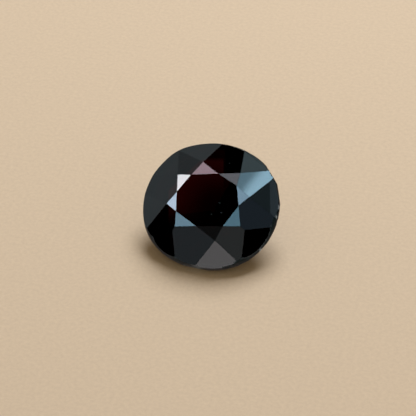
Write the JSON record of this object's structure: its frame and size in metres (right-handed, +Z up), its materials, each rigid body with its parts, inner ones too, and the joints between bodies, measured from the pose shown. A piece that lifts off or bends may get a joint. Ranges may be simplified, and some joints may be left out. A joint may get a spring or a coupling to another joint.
{
  "type": "faceted garnet gemstone",
  "caption": "Loose round-cut dark red garnet with a table, crown facets, a thin girdle and a pointed pavilion, lying on one pavilion facet.",
  "frame": {"origin": "on the surface that the stone lies on, below the middle of its bounding box", "axes": "+Z up from the surface; +X along the stone's long width; the table leans towards -Y and up"},
  "size_m": [0.01, 0.0078, 0.0064],
  "materials": {
    "garnet": "polished clear dark red crystal, refractive index 1.77, with a lightly frosted girdle"
  },
  "bodies": {
    "root": {"garnet": "garnet"}
  },
  "joints": []
}
